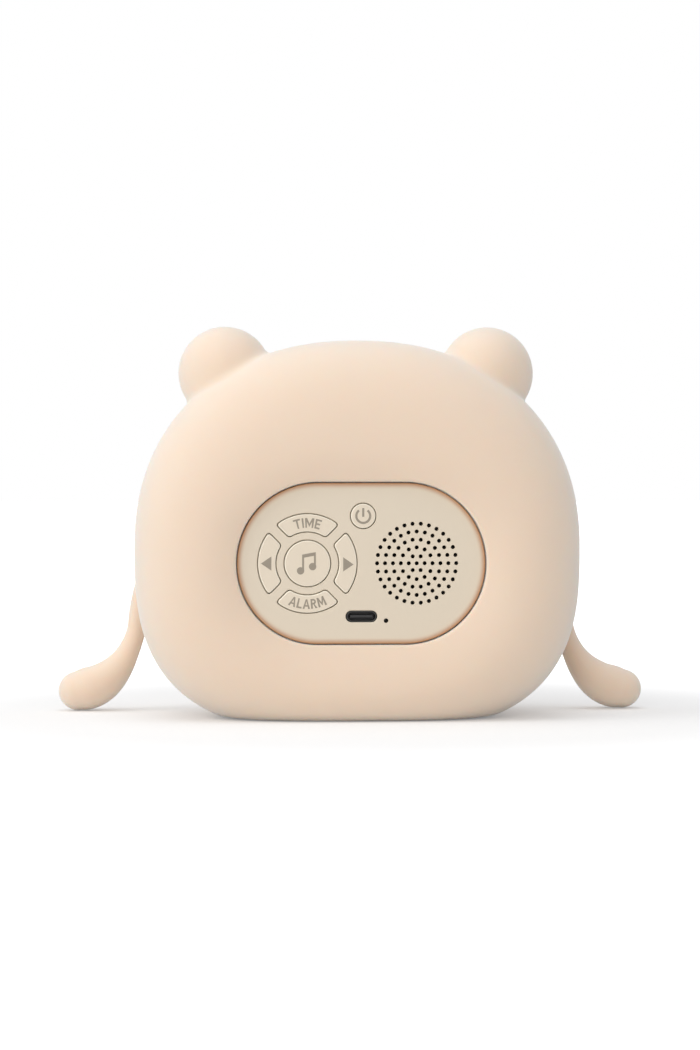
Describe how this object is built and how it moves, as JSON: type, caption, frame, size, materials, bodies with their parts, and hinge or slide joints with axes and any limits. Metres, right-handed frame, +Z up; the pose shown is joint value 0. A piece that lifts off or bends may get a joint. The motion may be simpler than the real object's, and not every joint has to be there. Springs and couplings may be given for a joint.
{
  "type": "kids alarm clock with night light",
  "caption": "Soft silicone-skinned alarm clock and night light with round ears, two resting arms and a rear control panel with keys, speaker grille and charging socket.",
  "frame": {"origin": "centre of the box round the clock, on the surface that it stands on", "axes": "+Z up, face towards -Y, control panel towards +Y, X across from arm to arm"},
  "size_m": [0.184, 0.07, 0.1195],
  "materials": {
    "cream_silicone": "matte, soft-touch moulded silicone",
    "dark_silicone": "satin",
    "milky_plastic": "milky, light-diffusing",
    "panel_plastic": "fine satin",
    "key_plastic": "fine satin with printed glyphs",
    "plunger_plastic": "moulded",
    "board_laminate": "solder mask",
    "switch_plastic": "moulded",
    "black_plastic": "moulded",
    "chip_plastic": "clear-capped light chips",
    "screw_steel": "zinc plated",
    "socket_steel": "drawn shell",
    "speaker_frame_steel": "black",
    "magnet_iron": "plated pot",
    "cone_paper": "pressed paper",
    "foam_rubber": "foam",
    "cell_can": "plastic-sleeved round cell"
  },
  "bodies": {
    "body": {"battery_cell": "cell_can", "board_screws": "screw_steel", "chassis": "milky_plastic", "chassis_screws": "screw_steel", "control_board": "board_laminate", "control_panel": "panel_plastic", "core_screws": "screw_steel", "display_board": "board_laminate", "display_chips": "chip_plastic", "display_mask": "black_plastic", "display_screws": "screw_steel", "face_eyes": "dark_silicone", "face_nose": "dark_silicone", "front_core": "milky_plastic", "key_switches": "switch_plastic", "light_board": "board_laminate", "light_chips": "chip_plastic", "light_screws": "screw_steel", "rear_core": "milky_plastic", "reset_switch": "switch_plastic", "silicone_skin": "cream_silicone", "speaker_basket": "speaker_frame_steel", "speaker_gasket": "foam_rubber", "speaker_magnet": "magnet_iron", "speaker_surround": "foam_rubber", "usb_socket_shell": "socket_steel", "usb_socket_tongue": "black_plastic"},
    "time_button": {"time_key": "key_plastic", "time_plunger": "plunger_plastic"},
    "alarm_button": {"alarm_key": "key_plastic", "alarm_plunger": "plunger_plastic"},
    "left_button": {"left_key": "key_plastic", "left_plunger": "plunger_plastic"},
    "right_button": {"right_key": "key_plastic", "right_plunger": "plunger_plastic"},
    "music_button": {"music_key": "key_plastic", "music_plunger": "plunger_plastic"},
    "power_button": {"power_key": "key_plastic", "power_plunger": "plunger_plastic"},
    "reset_button": {"reset_plunger": "plunger_plastic"},
    "speaker_diaphragm": {"speaker_cone": "cone_paper"}
  },
  "joints": [
    {"name": "time_press", "type": "slide", "parent": "body", "child": "time_button", "axis": [0, -1, 0], "range_m": [0, 0.0004], "stiffness_N_per_m": 5000},
    {"name": "alarm_press", "type": "slide", "parent": "body", "child": "alarm_button", "axis": [0, -1, 0], "range_m": [0, 0.0004], "stiffness_N_per_m": 5000},
    {"name": "left_press", "type": "slide", "parent": "body", "child": "left_button", "axis": [0, -1, 0], "range_m": [0, 0.0004], "stiffness_N_per_m": 5000},
    {"name": "right_press", "type": "slide", "parent": "body", "child": "right_button", "axis": [0, -1, 0], "range_m": [0, 0.0004], "stiffness_N_per_m": 5000},
    {"name": "music_press", "type": "slide", "parent": "body", "child": "music_button", "axis": [0, -1, 0], "range_m": [0, 0.0004], "stiffness_N_per_m": 5000},
    {"name": "power_press", "type": "slide", "parent": "body", "child": "power_button", "axis": [0, -1, 0], "range_m": [0, 0.0004], "stiffness_N_per_m": 5000},
    {"name": "reset_press", "type": "slide", "parent": "body", "child": "reset_button", "axis": [0, -1, 0], "range_m": [0, 0.00025], "stiffness_N_per_m": 5000},
    {"name": "cone_stroke", "type": "slide", "parent": "body", "child": "speaker_diaphragm", "axis": [0, 1, 0], "range_m": [-0.0003, 0.0003], "stiffness_N_per_m": 1000, "deforming": ["speaker_surround"]}
  ]
}
